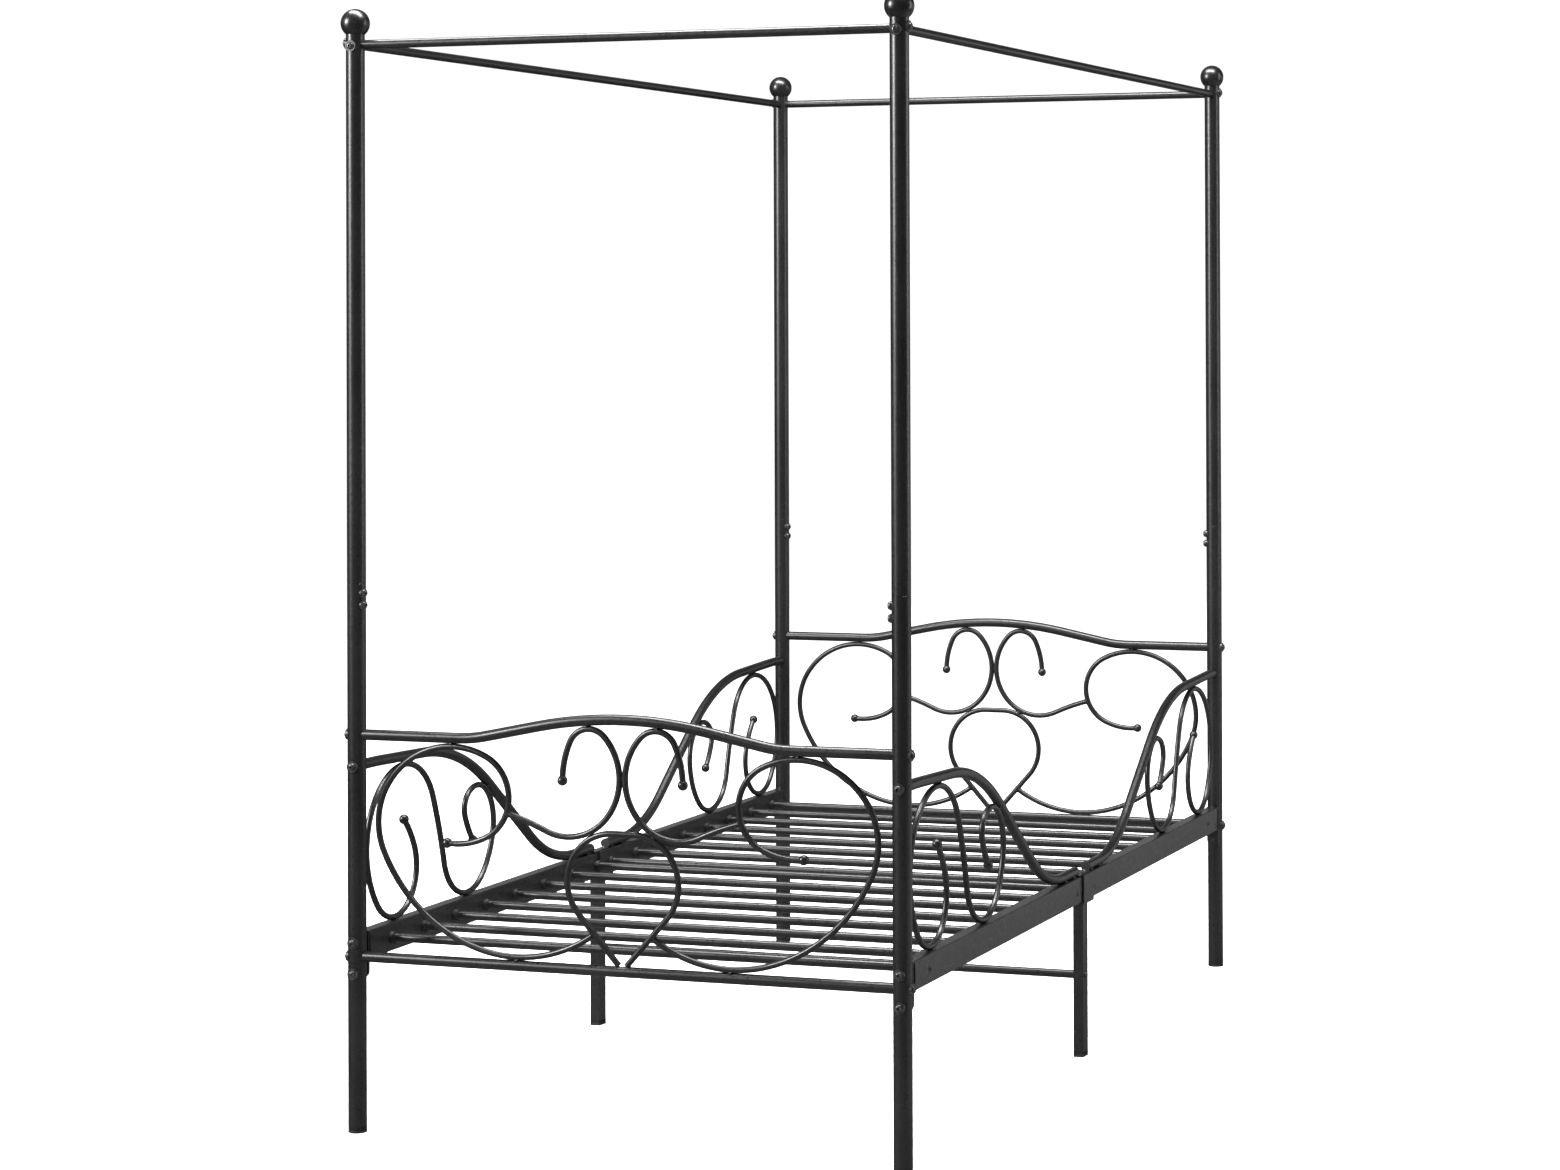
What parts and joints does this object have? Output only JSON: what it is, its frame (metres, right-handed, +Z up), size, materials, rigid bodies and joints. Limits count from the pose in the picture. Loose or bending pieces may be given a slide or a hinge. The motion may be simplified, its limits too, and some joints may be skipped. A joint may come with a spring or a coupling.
{
  "type": "four poster canopy bed",
  "caption": "Tubular steel four poster bed with a canopy frame, ball finials, scrolled end boards, scrolled side guards and a slatted base.",
  "frame": {"origin": "centre of the bed's footprint, on the floor", "axes": "+X to the right seen from the foot end, +Y from the footboard to the headboard, +Z up"},
  "size_m": [1.071, 1.981, 1.9669],
  "materials": {
    "black_powder_coat": "satin black powder coat with a fine orange-peel texture",
    "ball_enamel": "smooth satin black enamel",
    "black_plastic": "moulded black plastic with a fine grain",
    "black_hardware": "black oxide, semi-gloss",
    "zinc_steel": "dull zinc plate"
  },
  "bodies": {
    "root": {"canopy_tube_foot": "black_powder_coat", "canopy_tube_head": "black_powder_coat", "canopy_tube_left": "black_powder_coat", "canopy_tube_right": "black_powder_coat", "finial_foot_left": "ball_enamel", "finial_foot_right": "ball_enamel", "finial_head_left": "ball_enamel", "finial_head_right": "ball_enamel", "foot_glides": "black_plastic", "footboard_big_scroll_left": "black_powder_coat", "footboard_big_scroll_right": "black_powder_coat", "footboard_low_tube": "black_powder_coat", "footboard_small_scroll_left": "black_powder_coat", "footboard_small_scroll_right": "black_powder_coat", "footboard_teardrop": "black_powder_coat", "footboard_top_tube": "black_powder_coat", "frame_bolts": "black_hardware", "guard_end_caps": "black_plastic", "guard_scroll_foot_left": "black_powder_coat", "guard_scroll_foot_right": "black_powder_coat", "guard_scroll_head_left": "black_powder_coat", "guard_scroll_head_right": "black_powder_coat", "guard_tube_foot_left": "black_powder_coat", "guard_tube_foot_right": "black_powder_coat", "guard_tube_head_left": "black_powder_coat", "guard_tube_head_right": "black_powder_coat", "headboard_big_scroll_left": "black_powder_coat", "headboard_big_scroll_right": "black_powder_coat", "headboard_low_tube": "black_powder_coat", "headboard_small_scroll_left": "black_powder_coat", "headboard_small_scroll_right": "black_powder_coat", "headboard_teardrop": "black_powder_coat", "headboard_top_tube": "black_powder_coat", "joining_strips": "black_powder_coat", "leg_crossbar": "black_powder_coat", "m5_screws": "black_hardware", "middle_brackets": "black_powder_coat", "middle_leg_left": "black_powder_coat", "middle_leg_right": "black_powder_coat", "post_joiners": "zinc_steel", "post_lower_foot_left": "black_powder_coat", "post_lower_foot_right": "black_powder_coat", "post_lower_head_left": "black_powder_coat", "post_lower_head_right": "black_powder_coat", "post_upper_foot_left": "black_powder_coat", "post_upper_foot_right": "black_powder_coat", "post_upper_head_left": "black_powder_coat", "post_upper_head_right": "black_powder_coat", "rail_end_plates": "black_powder_coat", "rail_tongues": "black_powder_coat", "saddle_washers": "black_hardware", "scroll_ball_tips": "black_powder_coat", "side_rail_foot_left": "black_powder_coat", "side_rail_foot_right": "black_powder_coat", "side_rail_head_left": "black_powder_coat", "side_rail_head_right": "black_powder_coat", "slat_sockets": "black_plastic", "slats_foot_half": "black_powder_coat", "slats_head_half": "black_powder_coat", "tube_end_inserts": "zinc_steel"}
  },
  "joints": []
}
